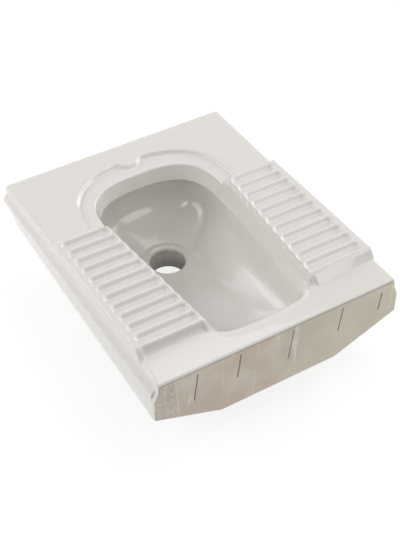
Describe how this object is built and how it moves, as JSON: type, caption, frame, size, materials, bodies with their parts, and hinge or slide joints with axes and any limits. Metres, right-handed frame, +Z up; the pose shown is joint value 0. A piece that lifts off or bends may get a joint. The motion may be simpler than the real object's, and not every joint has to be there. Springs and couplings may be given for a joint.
{
  "type": "squat toilet pan",
  "caption": "Floor-level squat toilet pan of glazed china with ribbed foot rests, a sloping trough, a flush channel under the rim and an outlet spigot below.",
  "frame": {"origin": "in the plane of the outlet spigot's end, under the middle of the pan's outer box", "axes": "+X to the user's right when facing the back, +Y to the back of the pan, where the drain and the flush inlet are, +Z up"},
  "size_m": [0.496, 0.6, 0.2185],
  "materials": {
    "glaze": "glossy warm white glaze",
    "bisque": "bare fired clay, matt, with blotches of thin glaze",
    "seal_rubber": "matt black rubber"
  },
  "bodies": {
    "root": {"deck": "glaze", "left_tread": "glaze", "right_tread": "glaze", "flush_rim": "glaze", "flush_channel": "glaze", "bowl": "glaze", "outlet_spigot": "glaze", "inlet_socket": "glaze", "inlet_seal": "seal_rubber", "front_apron": "bisque", "back_skirt": "glaze", "left_skirt": "glaze", "right_skirt": "glaze", "left_web_front": "glaze", "left_web_rear": "glaze", "right_web_front": "glaze", "right_web_rear": "glaze"}
  },
  "joints": []
}
